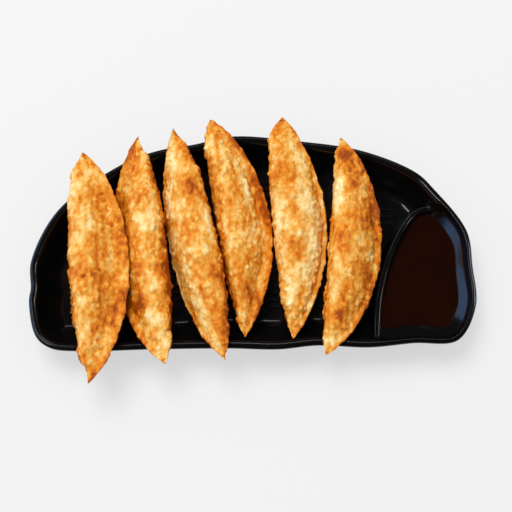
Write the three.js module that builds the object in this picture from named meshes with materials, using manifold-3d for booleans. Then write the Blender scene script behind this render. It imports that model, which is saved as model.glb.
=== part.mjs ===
// A half-moon dish of black moulded melamine with a sauce well, filled with six fried dumplings.
// Millimetres, +Z up. +X runs along the dish towards the sauce well, +Y from its straight front
// side to its arched back. The origin is on the table, under the middle of the whole.
import * as THREE from "three";
import Module from "manifold-3d";
import { mergeVertices } from "three/addons/utils/BufferGeometryUtils.js";

const wasm = await Module();
wasm.setup();

// ---- Driving dimensions ----

// The rim's outer edge seen from above, anticlockwise from the right: nearly straight along the
// front, arched along the back, with the shallow waves of a hand-shaped dish.
const rimOutline = [
  [107.9, -11.5], [105.7, 7], [90.1, 28.8], [81.5, 37.4], [54.8, 48.8], [20.5, 54.2],
  [-10.7, 56.5], [-29.9, 52.2], [-49.2, 48.6], [-66.9, 41.2], [-97.5, 17.3], [-109.6, -9],
  [-109.1, -22.5], [-109.7, -29], [-105.5, -46.5], [-98.1, -52.2], [-84, -53.7], [-50, -52.8], [-12, -52.3],
  [12, -52.8], [31, -50.9], [56.2, -51.8], [77.5, -49.7], [99.1, -48.3], [108.6, -31.2],
];

// The wall's section from the middle of the underside round the rim to the middle of the floor:
// how far in from the rim's outer edge, and how high. At the front, where the wall leans more,
// its ways in are a fifth longer.
const dishSection = [
  [17.4, 1.1], [16.2, 0], [11.6, 0], [10.4, 1.2], [1.2, 14], [0.4, 15.6], [0, 16.7],
  [0.5, 17.6], [1.7, 18], [3, 17.6], [3.9, 16.6], [5.2, 14.4], [8.1, 9.4], [10.9, 5.6],
  [12.8, 4.1], [14.8, 3.4],
];
const rimTop = 8; // the row of the section that is the rim's top
const frontLean = 0.2;
const floorTop = 3.4;
const roundSteps = 104;

// The low wall between the food and the sauce: its crest seen from above, and its section as
// half widths at heights. Towards its far end it sinks to a share of its height.
const dividerCrest = [
  [60.2, -47.5], [60.3, -42], [60.8, -33.6], [61.9, -25], [63.9, -16.5], [66.6, -7.5],
  [70.4, 1.5], [75.1, 10.4], [78.3, 15], [81.7, 18], [85.6, 19.4], [91.5, 19.8],
];
const dividerSection = [[3.8, 2.6], [2.9, 5.5], [2.2, 11], [1.5, 13.3], [0.8, 14]];
const dividerSteps = 18;
const dividerSinks = { from: 0.7, to: 0.82 };

// Low ribs moulded along the floor under the food.
const rib = {
  pitch: 3.6,
  width: 2,
  height: 0.45,
  first: -32.6, // the foremost rib's y
  count: 20,
  edge: 19, // how far in from the rim they start and end
  dividerGap: 6.5,
};

const sauce = {
  layers: [4.1, 5.6, 9.8], // heights of its rings, the last its surface
  gap: 0.8, // how far it stays from the dish
  middle: [84, -22],
  narrow: 0.6, // how its directions are drawn together across, so that they meet its long sides
  steps: 48,
};

// Each dumpling is a half-moon: the fold along one side, the sealed seam bowed out along the
// other. near and far are its two tips. fold and seam say how far each edge stands out from the
// line between the tips, with how fast it does so from the near and from the far tip; side is +1
// where the seam faces +X. The line sags between the tips, and roll lifts the seam, in degrees.
// band is the width of the flat sealed band along the seam, ridge where between fold and band the
// body is thickest, and slump how soon its top thins from there. Where a fold stops short of a
// tip, shoulder says between which shares of the length its edge falls, and to how much of itself.
const dumplings = [
  {
    near: [-78.1, -70.7, 26.3], far: [-84.8, 44.5, 26.3], sag: 5, roll: 7, half: 10.6,
    side: 1, fold: [8.4, 0.7, 0.47], seam: [21.3, 0.77, 0.74], seed: 11,
    band: 5.5, ridge: 0.36, slump: 0.6, shoulder: [0.065, 0.1, 0.35],
  },
  {
    near: [-41.6, -60.9, 23.7], far: [-57.5, 54, 23.7], sag: 6.8, roll: -14, half: 10.6,
    side: -1, fold: [7.2, 0.63, 0.56], seam: [21.4, 0.8, 0.84], seed: 23,
    band: 3.4, ridge: 0.4, slump: 0.47, shoulder: [0.94, 0.905, 0.3],
  },
  {
    near: [-13.5, -58.5, 23], far: [-40.1, 58.2, 23.4], sag: 4.6, roll: -32, half: 10.2,
    side: -1, fold: [9.8, 0.76, 0.65], seam: [17.2, 0.85, 0.88], seed: 37,
    band: 2.6, ridge: 0.42, slump: 0.4,
  },
  {
    near: [-4.1, -46.9, 17.6], far: [-21.7, 63, 23.3], sag: 5, roll: -8, half: 10.4,
    side: 1, fold: [5.2, 0.53, 0.3], seam: [22.2, 0.89, 0.8], seed: 41,
    band: 4.4, ridge: 0.32, slump: 0.45,
  },
  {
    near: [19.2, -47.6, 17.6], far: [14.8, 64.1, 23.1], sag: 5, roll: -8, half: 10.4,
    side: 1, fold: [8.2, 0.61, 0.21], seam: [19.7, 0.89, 0.86], seed: 53,
    band: 2.6, ridge: 0.4, slump: 0.3,
  },
  {
    near: [34.6, -56.4, 22], far: [43.3, 53.4, 23], sag: 6.4, roll: -5, half: 10.6,
    side: 1, fold: [1.7, 0.16, 0.2], seam: [24.4, 0.79, 0.75], seed: 67,
    band: 2.6, ridge: 0.3, slump: 0.36,
  },
];
const crust = {
  seamHalf: 1.3, // half the thickness of the sealed band
  under: 0.85, // how thick the body is below its seam, as a share of above
  underSlump: 0.6, // how soon its underside thins
  tipFlap: 0.05, // the share of the length at each end that is seam alone
  tipRise: 0.72, // how fast the body thickens from there
  foldStart: [0.05, 0.07], // the shares of the length over which the fold's edge grows at the tips
  steps: 40, // sections along a dumpling
  bodyPoints: 7, // points over each face from fold to seam
  seamPoints: 2, // and across the sealed band
  blisters: 46,
  blisterReach: [4.5, 8],
  blisterHeight: [0.5, 1.2],
};

const colours = { dish: 0x0c0b0c, sauce: 0x1d0a03, crust: 0xe0963f };

// ---- Helpers ----

// A repeatable random number from 0 to 1.
function randomFrom(seed) {
  let state = seed >>> 0;
  return () => {
    state = (state * 1664525 + 1013904223) >>> 0;
    return state / 4294967296;
  };
}

// Points at even distances along a smooth curve through some points of the plane.
function chainThrough(points, closed, count) {
  const through = points.map(([x, y]) => new THREE.Vector3(x, y, 0));
  return new THREE.CatmullRomCurve3(through, closed, "centripetal").getSpacedPoints(count);
}

// The distance from a point to such a chain.
function distanceTo(chain, x, y) {
  let least = Infinity;
  for (let i = 1; i < chain.length; i++) {
    const a = chain[i - 1];
    const dx = chain[i].x - a.x;
    const dy = chain[i].y - a.y;
    const along = ((x - a.x) * dx + (y - a.y) * dy) / (dx * dx + dy * dy);
    const t = Math.min(1, Math.max(0, along));
    least = Math.min(least, Math.hypot(x - a.x - t * dx, y - a.y - t * dy));
  }
  return least;
}

// Whether a point is inside such a chain, where it is closed.
function isInside(chain, x, y) {
  let inside = false;
  for (let i = 1; i < chain.length; i++) {
    const a = chain[i - 1];
    const b = chain[i];
    if (a.y > y !== b.y > y && x < a.x + ((y - a.y) * (b.x - a.x)) / (b.y - a.y)) inside = !inside;
  }
  return inside;
}

// How far one can go from a start point, along a direction, while a test holds.
function reach(start, direction, holds) {
  const passes = (far) => holds(start[0] + direction.x * far, start[1] + direction.y * far);
  let far = 0;
  for (let step = 2; step > 0.001; step /= 2) while (passes(far + step)) far += step;
  return far;
}

function geometryFrom(positions, faces) {
  const geometry = new THREE.BufferGeometry();
  geometry.setAttribute("position", new THREE.Float32BufferAttribute(positions, 3));
  geometry.setIndex(faces);
  return geometry;
}

// A closed mesh over rings of equal length. Its ends close on the two points given, or else on
// the middles of the first and the last ring.
function loft(rings, ends = [middleOf(rings[0]), middleOf(rings.at(-1))]) {
  const count = rings[0].length;
  const positions = rings.flat(2);
  const faces = [];
  for (let r = 0; r + 1 < rings.length; r++)
    for (let i = 0; i < count; i++) {
      const a = r * count + i;
      const b = r * count + ((i + 1) % count);
      faces.push(a, b, b + count, a, b + count, a + count);
    }
  const first = positions.length / 3;
  const last = (rings.length - 1) * count;
  positions.push(...ends[0], ...ends[1]);
  for (let i = 0; i < count; i++) {
    const next = (i + 1) % count;
    faces.push(next, i, first);
    faces.push(last + i, last + next, first + 1);
  }
  return geometryFrom(positions, faces);
}

function middleOf(ring) {
  return [0, 1, 2].map((axis) => ring.reduce((sum, point) => sum + point[axis], 0) / ring.length);
}

function solidFrom(geometry) {
  const merged = mergeVertices(geometry, 1e-4);
  const vertProperties = new Float32Array(merged.attributes.position.array);
  const triVerts = new Uint32Array(merged.index.array);
  return new wasm.Manifold(new wasm.Mesh({ numProp: 3, vertProperties, triVerts }));
}

function geometryOf(solid) {
  const mesh = solid.getMesh();
  return geometryFrom(Array.from(mesh.vertProperties), Array.from(mesh.triVerts));
}

// ---- The dish ----

const rimChain = chainThrough(rimOutline, true, roundSteps);
const dividerChain = chainThrough(dividerCrest, false, 60);
const rimDirections = rimChain.slice(1).map(({ x, y }) => new THREE.Vector2(x, y).normalize());

// How far in from the rim's outer edge a point is, in the section's own measure.
function insetAt(x, y) {
  const away = Math.hypot(x, y);
  const front = Math.max(0, -y / away) ** 2;
  return distanceTo(rimChain, x, y) / (1 + frontLean * front);
}

// The ring that lies a given way in from the rim's outer edge.
function rimRing([inset, height]) {
  const holds = (x, y) => isInside(rimChain, x, y) && insetAt(x, y) > inset;
  return rimDirections.map((direction) => {
    const radius = reach([0, 0], direction, holds);
    return [direction.x * radius, direction.y * radius, height];
  });
}

// The dish's inner face at a height, as a closed chain.
function innerChain(z) {
  const i = dishSection.findIndex(([, height], row) => row > rimTop && height <= z);
  const share = (dishSection[i - 1][1] - z) / (dishSection[i - 1][1] - dishSection[i][1]);
  const above = rimRing(dishSection[i - 1]).map((point) => new THREE.Vector3(...point));
  const below = rimRing(dishSection[i]).map((point) => new THREE.Vector3(...point));
  const ring = above.map((point, k) => point.lerp(below[k], share));
  return [...ring, ring[0]];
}

function dividerSolid() {
  const chain = chainThrough(dividerCrest, false, dividerSteps);
  const rings = chain.map((point, i) => {
    const before = chain[Math.max(0, i - 1)];
    const after = chain[Math.min(dividerSteps, i + 1)];
    const along = after.clone().sub(before).normalize();
    const sunk = THREE.MathUtils.smoothstep(i / dividerSteps, dividerSinks.from, 1);
    const tall = THREE.MathUtils.lerp(1, dividerSinks.to, sunk);
    const at = (width, height) => [
      point.x - along.y * width, point.y + along.x * width, height * tall,
    ];
    return [
      ...dividerSection.map(([half, z]) => at(half, z)),
      ...dividerSection.toReversed().map(([half, z]) => at(-half, z)),
    ];
  });
  return solidFrom(loft(rings));
}

function ribSolid(y) {
  const clear = (x) => insetAt(x, y) > rib.edge && distanceTo(dividerChain, x, y) > rib.dividerGap;
  const right = reach([0, y], { x: 1, y: 0 }, clear);
  const left = -reach([0, y], { x: -1, y: 0 }, clear);
  const foot = rib.width / 2;
  const top = rib.width / 4;
  const section = (x) => [
    [x, y - foot, floorTop - 0.8],
    [x, y + foot, floorTop - 0.8],
    [x, y + top, floorTop + rib.height],
    [x, y - top, floorTop + rib.height],
  ];
  return solidFrom(loft([section(left), section(right)]));
}

function dishGeometry() {
  const shell = solidFrom(loft(dishSection.map(rimRing)));
  const block = solidFrom(loft(dishSection.slice(1, rimTop + 1).map(rimRing)));
  let dish = shell.add(dividerSolid().intersect(block));
  for (let i = 0; i < rib.count; i++) dish = dish.add(ribSolid(rib.first + i * rib.pitch));
  return geometryOf(dish);
}

// ---- The sauce ----

function dividerHalf(z) {
  const i = dividerSection.findIndex(([, height]) => height > z);
  const [wide, low] = dividerSection[i - 1];
  const [narrow, high] = dividerSection[i];
  return wide + ((narrow - wide) * (z - low)) / (high - low);
}

// The sauce's edge at a height: as far from its middle as it stays clear of wall and divider.
function sauceRing(z) {
  const wall = innerChain(z);
  const clear = (x, y) => isInside(wall, x, y) && distanceTo(wall, x, y) > sauce.gap &&
    distanceTo(dividerChain, x, y) > dividerHalf(z) + sauce.gap;
  return Array.from({ length: sauce.steps }, (_, i) => {
    const turn = (2 * Math.PI * i) / sauce.steps;
    const direction = { x: sauce.narrow * Math.cos(turn), y: Math.sin(turn) };
    const far = reach(sauce.middle, direction, clear);
    return [sauce.middle[0] + direction.x * far, sauce.middle[1] + direction.y * far, z];
  });
}

// ---- The dumplings ----

// A bow that rises from 0 at both ends to its width, at the given rates from each end.
function bow([width, nearRate, farRate], t) {
  const top = nearRate / (nearRate + farRate);
  const shape = (s) => s ** nearRate * (1 - s) ** farRate;
  return (width * shape(t)) / shape(top);
}

// A dumpling's half thickness, as a share of its greatest, from its fold (0) to its seam (1).
function teardrop(v, ridge, slump) {
  if (v < ridge) return Math.sqrt(1 - (1 - v / ridge) ** 2);
  const fall = (v - ridge) / (1 - ridge);
  return (0.5 + 0.5 * Math.cos(Math.PI * fall)) ** slump;
}

// How far the folded edge stands out from the line between the tips.
function foldOut(d, t) {
  const [from, to, kept] = d.shoulder ?? [0, 1, 1];
  const grown = THREE.MathUtils.clamp((t - from) / (to - from), 0, 1);
  const [near, far] = crust.foldStart;
  const start = Math.sqrt(Math.min(1, t / near, (1 - t) / far));
  return bow(d.fold, t) * (kept + (1 - kept) * grown) * start;
}

// One section of a dumpling, a share t of the way from its near tip to its far one: points
// [across towards the seam, up, how rough], over its top face and back under it.
function dumplingSection(d, t) {
  const foldEdge = -foldOut(d, t);
  const seamEdge = bow(d.seam, t);
  const band = Math.min(d.band, 0.4 * (seamEdge - foldEdge));
  const width = seamEdge - band - foldEdge;
  const filled = Math.min(1, Math.max(0, (t - crust.tipFlap) / (1 - 2 * crust.tipFlap)));
  const half = d.half * Math.sin(Math.PI * filled) ** crust.tipRise;
  const thin = crust.seamHalf * Math.min(1, 12 * t, 12 * (1 - t));
  const face = (thickness, slump) => {
    const points = [];
    for (let i = 0; i <= crust.bodyPoints; i++) {
      const v = 0.5 - 0.5 * Math.cos((Math.PI * (i + 0.35)) / (crust.bodyPoints + 0.35));
      const up = Math.max(thin, thickness * teardrop(v, d.ridge, slump));
      points.push([foldEdge + width * v, up, 1]);
    }
    for (let i = 1; i <= crust.seamPoints; i++) {
      const share = i / crust.seamPoints;
      points.push([foldEdge + width + band * share, thin * (1 - 0.35 * share), 0.25]);
    }
    return points;
  };
  const under = face(crust.under * half, crust.underSlump);
  return [...face(half, d.slump), ...under.reverse().map(([across, up, rough]) => [across, -up, rough])];
}

// Sets a point of a section, [across, up], into the dish.
function place(d, [across, up], t) {
  const near = new THREE.Vector3(...d.near);
  const far = new THREE.Vector3(...d.far);
  const along = far.clone().sub(near).setZ(0).normalize();
  const sideways = new THREE.Vector3(along.y, -along.x, 0).multiplyScalar(d.side);
  const roll = THREE.MathUtils.degToRad(d.roll) * Math.sin(Math.PI * t) ** 0.6;
  const out = across * Math.cos(roll) - up * Math.sin(roll);
  const rise = across * Math.sin(roll) + up * Math.cos(roll) - d.sag * (1 - (2 * t - 1) ** 2);
  const point = near.lerp(far, t).addScaledVector(sideways, out);
  point.z += rise;
  return point;
}

// Domes of fried crust at random places over a dumpling.
function blistersOf(d) {
  const random = randomFrom(d.seed);
  const between = ([low, high]) => low + (high - low) * random();
  return Array.from({ length: crust.blisters }, () => {
    const t = 0.06 + 0.88 * random();
    const section = dumplingSection(d, t);
    return {
      middle: place(d, section[Math.floor(random() * section.length)], t),
      reach: between(crust.blisterReach),
      height: between(crust.blisterHeight),
    };
  });
}

function dumplingGeometry(d) {
  const blisters = blistersOf(d);
  const riseAt = (point) => blisters.reduce((most, blister) => {
    const share = Math.max(0, 1 - (point.distanceTo(blister.middle) / blister.reach) ** 2);
    return Math.max(most, blister.height * share * share);
  }, 0);
  const rings = [];
  for (let i = 1; i < crust.steps; i++) {
    const t = 0.5 - 0.5 * Math.cos(Math.PI * (0.03 + (0.94 * i) / crust.steps));
    const section = dumplingSection(d, t);
    const middle = place(d, [(section[0][0] + section[crust.bodyPoints][0]) / 2, 0], t);
    rings.push(section.map((entry) => {
      const point = place(d, entry, t);
      const outward = point.clone().sub(middle).normalize();
      return point.addScaledVector(outward, riseAt(point) * entry[2]).toArray();
    }));
  }
  if (d.side < 0) rings.forEach((ring) => ring.reverse());
  return loft(rings, [d.near, d.far]);
}

// ---- The whole ----

const part = new THREE.Group();

function addPiece(name, geometry, color, roughness) {
  const material = new THREE.MeshStandardMaterial({ color, roughness, metalness: 0 });
  const piece = new THREE.Mesh(geometry, material);
  piece.name = name;
  part.add(piece);
}

addPiece("dish", dishGeometry(), colours.dish, 0.22);
addPiece("sauce", loft(sauce.layers.map(sauceRing)), colours.sauce, 0.08);
dumplings.forEach((d, i) => addPiece(`dumpling_${i + 1}`, dumplingGeometry(d), colours.crust, 0.6));

// The pieces are laid out round the dish's own middle; this puts the origin under the whole.
const extent = new THREE.Box3().setFromObject(part);
const middle = extent.getCenter(new THREE.Vector3());
part.position.set(-middle.x, -middle.y, 0);

export default part;
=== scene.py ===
# Six fried dumplings on a black half-moon dish with a well of dipping sauce.
# Shapes are worked out in millimetres and put into the scene in metres, +Z up.
import math

import bmesh
import bpy
import numpy as np
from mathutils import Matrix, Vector


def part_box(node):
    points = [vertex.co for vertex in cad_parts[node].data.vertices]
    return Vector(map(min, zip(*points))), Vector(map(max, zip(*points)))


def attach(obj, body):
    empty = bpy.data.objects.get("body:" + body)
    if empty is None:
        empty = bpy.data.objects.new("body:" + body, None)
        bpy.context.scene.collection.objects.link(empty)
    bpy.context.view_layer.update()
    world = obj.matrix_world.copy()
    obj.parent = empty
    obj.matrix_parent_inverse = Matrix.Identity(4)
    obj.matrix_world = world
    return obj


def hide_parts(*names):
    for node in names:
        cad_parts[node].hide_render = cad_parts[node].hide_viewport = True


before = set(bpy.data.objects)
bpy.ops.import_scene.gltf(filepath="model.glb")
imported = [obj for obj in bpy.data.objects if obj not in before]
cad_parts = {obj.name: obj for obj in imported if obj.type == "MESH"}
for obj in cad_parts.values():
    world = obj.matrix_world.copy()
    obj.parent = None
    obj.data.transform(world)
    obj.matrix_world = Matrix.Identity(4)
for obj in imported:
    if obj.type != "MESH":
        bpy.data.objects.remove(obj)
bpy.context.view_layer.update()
mm = 0.001
print("frame loaded")


# Helpers

def linear(colour):
    # an sRGB hex value as the linear colour that Blender's sockets take
    parts = [int(colour[i:i + 2], 16) / 255 for i in (1, 3, 5)]
    return [c / 12.92 if c <= 0.04045 else ((c + 0.055) / 1.055) ** 2.4 for c in parts] + [1]


def addNode(tree, kind, inputs=None, **settings):
    node = tree.nodes.new(kind)
    for name, value in settings.items():
        setattr(node, name, value)
    for key, value in (inputs or {}).items():
        if isinstance(value, bpy.types.NodeSocket):
            tree.links.new(value, node.inputs[key])
        else:
            node.inputs[key].default_value = value
    return node


def addObject(name, data):
    obj = bpy.data.objects.new(name, data)
    bpy.context.scene.collection.objects.link(obj)
    return obj


def meshFrom(name, points, faces):
    # points are in millimetres
    mesh = bpy.data.meshes.new(name)
    mesh.from_pydata((np.asarray(points) * mm).tolist(), [], faces)
    mesh.validate()
    mesh.polygons.foreach_set("use_smooth", [True] * len(mesh.polygons))
    return addObject(name, mesh)


def storePerPoint(obj, name, values):
    # keeps a value at each point, for the shaders and node trees
    attribute = obj.data.attributes.new(name, "FLOAT", "POINT")
    attribute.data.foreach_set("value", np.asarray(values, np.float32))


def shellFaces(rings, count):
    # quads between rings of equal length, and a fan at either end round one of two last points
    faces = []
    for r in range(rings - 1):
        for i in range(count):
            a = r * count + i
            b = r * count + (i + 1) % count
            faces.append((a, b, b + count, a + count))
    under = rings * count
    last = under - count
    faces += [((i + 1) % count, i, under) for i in range(count)]
    faces += [(last + i, last + (i + 1) % count, under + 1) for i in range(count)]
    return faces


def smoothStep(x, low, high):
    share = np.clip((x - low) / (high - low), 0, 1)
    return share * share * (3 - 2 * share)


def hump(x, middle, reach):
    return np.exp(-((x - middle) / reach) ** 2)


def softMax(a, b, radius):
    # the larger of two heights, with a fillet of about that radius where they meet
    overlap = np.maximum(radius - np.abs(a - b), 0) / radius
    return np.maximum(a, b) + overlap * overlap * radius / 4


def splineThrough(points, closed, count):
    # evenly spaced points along a centripetal Catmull-Rom curve, which is drawn finely first
    fineSteps = 60
    given = [np.array(p, float) for p in points]
    if closed:
        chain = [given[-1]] + given + given[:2]
    else:
        chain = [2 * given[0] - given[1]] + given + [2 * given[-1] - given[-2]]
    fine = []
    for p0, p1, p2, p3 in zip(chain, chain[1:], chain[2:], chain[3:]):
        d0, d1, d2 = (math.sqrt(np.linalg.norm(b - a)) for a, b in ((p0, p1), (p1, p2), (p2, p3)))
        start = ((p1 - p0) / d0 - (p2 - p0) / (d0 + d1) + (p2 - p1) / d1) * d1
        end = ((p2 - p1) / d1 - (p3 - p1) / (d1 + d2) + (p3 - p2) / d2) * d1
        for s in np.linspace(0, 1, fineSteps, endpoint=False):
            fine.append((2 * s ** 3 - 3 * s * s + 1) * p1 + (s ** 3 - 2 * s * s + s) * start
                        + (3 * s * s - 2 * s ** 3) * p2 + (s ** 3 - s * s) * end)
    fine.append(fine[0] if closed else given[-1])
    fine = np.array(fine)
    run = np.concatenate([[0], np.cumsum(np.linalg.norm(np.diff(fine, axis=0), axis=1))])
    at = np.linspace(0, run[-1], count + 1)
    return np.stack([np.interp(at, run, fine[:, axis]) for axis in range(fine.shape[1])], axis=1)


def roundedChain(points, rounds):
    # cuts the corners of an open chain again and again, which rounds them and never overshoots
    chain = np.array(points, float)
    for _ in range(rounds):
        near = 0.75 * chain[:-1] + 0.25 * chain[1:]
        far = 0.25 * chain[:-1] + 0.75 * chain[1:]
        cut = np.stack([near, far], axis=1).reshape(-1, chain.shape[1])
        chain = np.vstack([chain[:1], cut[1:-1], chain[-1:]])
    return chain


def distanceTo(chain, points):
    # how far points of the plane lie from a chain
    a = chain[:-1]
    step = chain[1:] - a
    lengths = (step ** 2).sum(axis=1)
    least = np.full(len(points), np.inf)
    for start, way, length in zip(a, step, lengths):
        offset = points - start
        share = np.clip(offset @ way / length, 0, 1)
        least = np.minimum(least, ((offset - share[:, None] * way) ** 2).sum(axis=1))
    return np.sqrt(least)


def bakeNodes(obj, tree, values):
    # runs a geometry tree on a piece and keeps the result as its plain mesh
    modifier = obj.modifiers.new(tree.name, "NODES")
    modifier.node_group = tree
    identifiers = {item.name: item.identifier for item in tree.interface.items_tree
                   if item.in_out == "INPUT"}
    for name, value in values.items():
        modifier[identifiers[name]] = value
    result = bpy.data.meshes.new_from_object(
        obj.evaluated_get(bpy.context.evaluated_depsgraph_get()),
        preserve_all_data_layers=True, depsgraph=bpy.context.evaluated_depsgraph_get())
    obj.modifiers.clear()
    obj.data = result
    result.name = obj.name


# The camera stands where the photograph's did: an 85 mm lens, steeply above the front.

view = dict(distance=594.3, elevation=75.5, lens=85, target=(1.68, -3.05, 18))

cameraData = bpy.data.cameras.new("camera")
cameraData.lens = view["lens"]
camera = addObject("camera", cameraData)
tilt = math.radians(view["elevation"])
target = Vector(view["target"]) * mm
camera.location = target + view["distance"] * mm * Vector((0, -math.cos(tilt), math.sin(tilt)))
camera.rotation_euler = (target - camera.location).to_track_quat("-Z", "Y").to_euler()
bpy.context.scene.camera = camera


# Materials

def newMaterial(name):
    material = bpy.data.materials.new(name)
    material.use_nodes = True
    tree = material.node_tree
    tree.nodes.clear()
    shader = addNode(tree, "ShaderNodeBsdfPrincipled")
    addNode(tree, "ShaderNodeOutputMaterial", {"Surface": shader.outputs["BSDF"]})
    return material, tree, shader


def noiseAt(tree, coordinates, grain, detail=3, roughness=0.5):
    # grain is the size of a patch in millimetres
    return addNode(tree, "ShaderNodeTexNoise", {
        "Vector": coordinates, "Scale": 1 / (grain * mm), "Detail": detail,
        "Roughness": roughness}).outputs["Fac"]


def setRamp(node, stops):
    elements = node.color_ramp.elements
    while len(elements) > 1:
        elements.remove(elements[-1])
    elements[0].position = stops[0][0]
    elements[0].color = linear(stops[0][1])
    for position, colour in stops[1:]:
        elements.new(position).color = linear(colour)


# Black melamine, compression-moulded in a polished tool: a deep even black with a wet-looking
# gloss, whose reflections waver a little.
def mouldedMelamine():
    material, tree, shader = newMaterial("mouldedMelamine")
    place = addNode(tree, "ShaderNodeTexCoord").outputs["Object"]
    cloud = noiseAt(tree, place, 14)
    shade = addNode(tree, "ShaderNodeValToRGB", {"Fac": cloud})
    setRamp(shade, [(0.3, "#050506"), (0.7, "#0a0909")])
    wear = addNode(tree, "ShaderNodeMapRange", {
        "Value": noiseAt(tree, place, 5, 5), "From Min": 0.3, "From Max": 0.7,
        "To Min": 0.12, "To Max": 0.2})
    wave = addNode(tree, "ShaderNodeBump", {
        "Height": noiseAt(tree, place, 9, 1), "Strength": 0.25, "Distance": 0.3 * mm})
    tree.links.new(shade.outputs["Color"], shader.inputs["Base Color"])
    tree.links.new(wear.outputs["Result"], shader.inputs["Roughness"])
    tree.links.new(wave.outputs["Normal"], shader.inputs["Normal"])
    shader.inputs["IOR"].default_value = 1.5
    return material


# Soy and vinegar dip, poured: almost black, with a smooth liquid gloss.
def pouredDip():
    material, tree, shader = newMaterial("pouredDip")
    place = addNode(tree, "ShaderNodeTexCoord").outputs["Object"]
    shade = addNode(tree, "ShaderNodeValToRGB", {"Fac": noiseAt(tree, place, 18, 2)})
    setRamp(shade, [(0.3, "#180601"), (0.7, "#1d0802")])
    tree.links.new(shade.outputs["Color"], shader.inputs["Base Color"])
    shader.inputs["Roughness"].default_value = 0.06
    shader.inputs["IOR"].default_value = 1.36
    return material


# Wheat dough, deep-fried: blistered golden crust, cream where it puffed up and orange-brown in its
# hollows, along its seam and at its tips, under a thin film of oil. The paler tops and darker
# hollows are partly painted light and shade, and its steep sides and underside are painted darker
# as shade.
def friedDough():
    material, tree, shader = newMaterial("friedDough")
    place = addNode(tree, "ShaderNodeTexCoord").outputs["Object"]
    browningAndShade = addNode(tree, "ShaderNodeAttribute", attribute_name="browningAndShade").outputs["Fac"]
    blister = addNode(tree, "ShaderNodeAttribute", attribute_name="blister").outputs["Fac"]

    def mixIn(start, value, centre, weight):
        # adds weight times how far a value is over its usual one
        offset = addNode(tree, "ShaderNodeMath", {0: value, 1: centre}, operation="SUBTRACT")
        scaled = addNode(tree, "ShaderNodeMath", {
            0: offset.outputs[0], 1: weight, 2: start}, operation="MULTIPLY_ADD")
        return scaled.outputs[0]

    # patches are drawn out along the dumplings
    drawn = addNode(tree, "ShaderNodeMapping", {
        "Vector": place, "Scale": (1, 0.55, 1)}).outputs["Vector"]
    doneAndShaded = mixIn(browningAndShade, noiseAt(tree, drawn, 9, 2), 0.5, 1.7)
    doneAndShaded = mixIn(doneAndShaded, noiseAt(tree, drawn, 2.4, 2, 0.5), 0.5, 1.25)
    # painted light and shade, in part: the crust is coloured paler where blisters rise and darker
    # in their hollows
    doneAndShaded = mixIn(doneAndShaded, blister, 0.42, -0.45)
    share = addNode(tree, "ShaderNodeMapRange", {
        "Value": doneAndShaded, "From Min": -0.25, "From Max": 1.0}).outputs["Result"]
    shade = addNode(tree, "ShaderNodeValToRGB", {"Fac": share})
    setRamp(shade, [(0, "#f8e0a6"), (0.2, "#f2ce86"), (0.33, "#edbc6b"), (0.44, "#e7aa4e"),
                    (0.55, "#e19735"), (0.66, "#da841e"), (0.78, "#cf7212"), (0.89, "#bb5e0c"),
                    (1, "#9c4909")])
    oil = addNode(tree, "ShaderNodeMapRange", {
        "Value": noiseAt(tree, place, 2.4, 3), "From Min": 0.3, "From Max": 0.7,
        "To Min": 0.32, "To Max": 0.55})
    crumb = addNode(tree, "ShaderNodeBump", {
        "Height": noiseAt(tree, place, 0.7, 2), "Strength": 0.8, "Distance": 0.4 * mm})
    tree.links.new(shade.outputs["Color"], shader.inputs["Base Color"])
    tree.links.new(oil.outputs["Result"], shader.inputs["Roughness"])
    tree.links.new(crumb.outputs["Normal"], shader.inputs["Normal"])
    shader.inputs["IOR"].default_value = 1.45
    shader.inputs["Specular IOR Level"].default_value = 0.22
    shader.inputs["Subsurface Weight"].default_value = 0.12
    shader.inputs["Subsurface Radius"].default_value = (1, 0.45, 0.2)
    shader.inputs["Subsurface Scale"].default_value = 1.5 * mm
    return material


melamine = mouldedMelamine()
dip = pouredDip()
dough = friedDough()
print("materials made")


# The dish

dish = dict(
    # the rim's outer edge from above, anticlockwise from the right
    rim=[(107.9, -11.5), (105.7, 7), (90.1, 28.8), (81.5, 37.4), (54.8, 48.8), (20.5, 54.2),
         (-10.7, 56.5), (-29.9, 52.2), (-49.2, 48.6), (-66.9, 41.2), (-97.5, 17.3), (-109.6, -9),
         (-109.1, -22.5), (-109.7, -29), (-105.5, -46.5), (-98.1, -52.2), (-84, -53.7),
         (-50, -52.8), (-12, -52.3), (12, -52.8), (31, -50.9), (56.2, -51.8), (77.5, -49.7),
         (99.1, -48.3), (108.6, -31.2)],
    # the wall's section: how far in from the rim's outer edge, and how high
    section=[(17.4, 1.1), (16.2, 0), (11.6, 0), (10.4, 1.2), (1.2, 14), (0.4, 15.6), (0, 16.7),
             (0.5, 17.6), (1.7, 18), (3, 17.6), (3.9, 16.6), (5.2, 14.4), (8.1, 9.4),
             (10.9, 5.6), (12.8, 4.1), (14.8, 3.4)],
    rimTop=8,  # the row of the section that is the rim's top
    rounds=3,  # how often the section's corners are cut to round them
    frontLean=0.2,  # how much more the wall leans in front
    # the wall's inner side in the sauce well, where it is steep under the rim and then slack
    wellSection=[(1.7, 18), (2.3, 17.85), (2.7, 17.2), (2.9, 15.8), (3.2, 14.3), (3.8, 13.3),
                 (6.2, 11.6), (8.4, 10), (9.8, 8.2), (12.4, 5.2), (14.8, 3.4)],
    wellRounds=2,
    wellFrom=-37,  # the degrees round the dish between which that is
    wellTo=11.5,
    wellBlend=2,  # and how many it takes to change, to either side
    # where it stands farther out under the rim's wave and farther in at the corner: the degrees
    # round the dish, how many of them it takes and how far
    wellSwells=[(-2, 13, 1.2), (-27, 6, -1.5)],
    swellStart=(2, 7),  # the ways in from the rim between which these set in
    searchWay=38,  # how far in along each direction a ring's place is looked for
    searchSteps=64,
    around=480,
    floorRings=10,
)
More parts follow.
